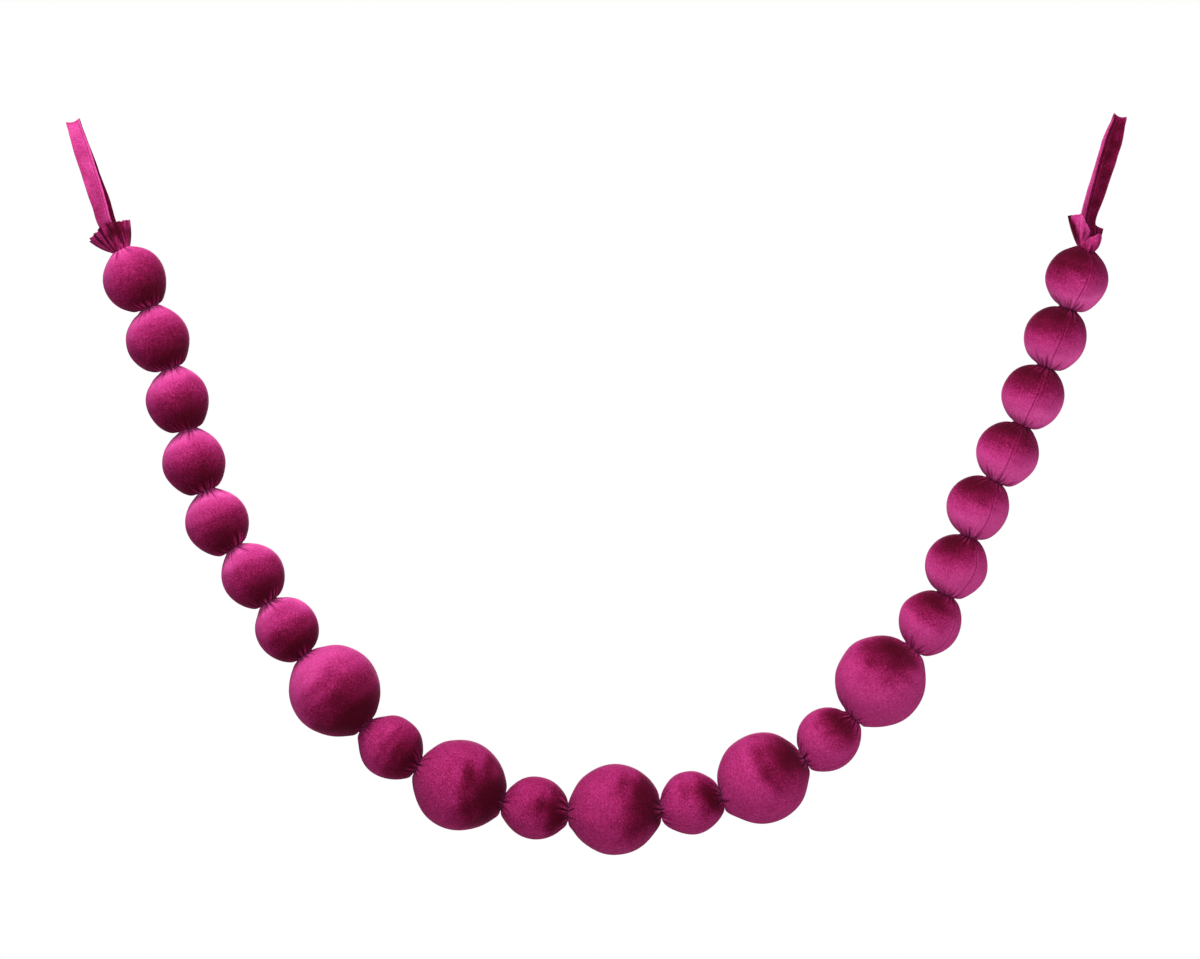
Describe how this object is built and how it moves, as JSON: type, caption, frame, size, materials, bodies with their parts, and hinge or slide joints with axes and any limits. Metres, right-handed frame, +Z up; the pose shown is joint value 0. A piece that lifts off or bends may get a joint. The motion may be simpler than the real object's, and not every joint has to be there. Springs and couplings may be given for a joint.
{
  "type": "velvet ball garland",
  "caption": "Hanging garland of velvet-covered balls, small towards both ends and mixed with larger ones at the bottom, with a gathered frill and a velvet strap loop at each end.",
  "frame": {"origin": "inside the crown of the left loop, where a hook bears", "axes": "+X along the span towards the right loop, +Y away from the viewer, +Z up"},
  "size_m": [1.0603, 0.0884, 0.7402],
  "materials": {
    "tube_velvet": "soft short-pile velvet, magenta to dark raspberry with the lie of the nap",
    "strap_velvet": "soft short-pile velvet, magenta to dark raspberry with the lie of the nap"
  },
  "bodies": {
    "root": {"ball_01": "tube_velvet", "ball_02": "tube_velvet", "ball_03": "tube_velvet", "ball_04": "tube_velvet", "ball_05": "tube_velvet", "ball_06": "tube_velvet", "ball_07": "tube_velvet", "ball_08": "tube_velvet", "ball_09": "tube_velvet", "ball_10": "tube_velvet", "ball_11": "tube_velvet", "ball_12": "tube_velvet", "ball_13": "tube_velvet", "ball_14": "tube_velvet", "ball_15": "tube_velvet", "ball_16": "tube_velvet", "ball_17": "tube_velvet", "ball_18": "tube_velvet", "ball_19": "tube_velvet", "ball_20": "tube_velvet", "ball_21": "tube_velvet", "ball_22": "tube_velvet", "ball_23": "tube_velvet", "frill_left": "tube_velvet", "frill_right": "tube_velvet", "loop_left": "strap_velvet", "loop_right": "strap_velvet"}
  },
  "joints": []
}
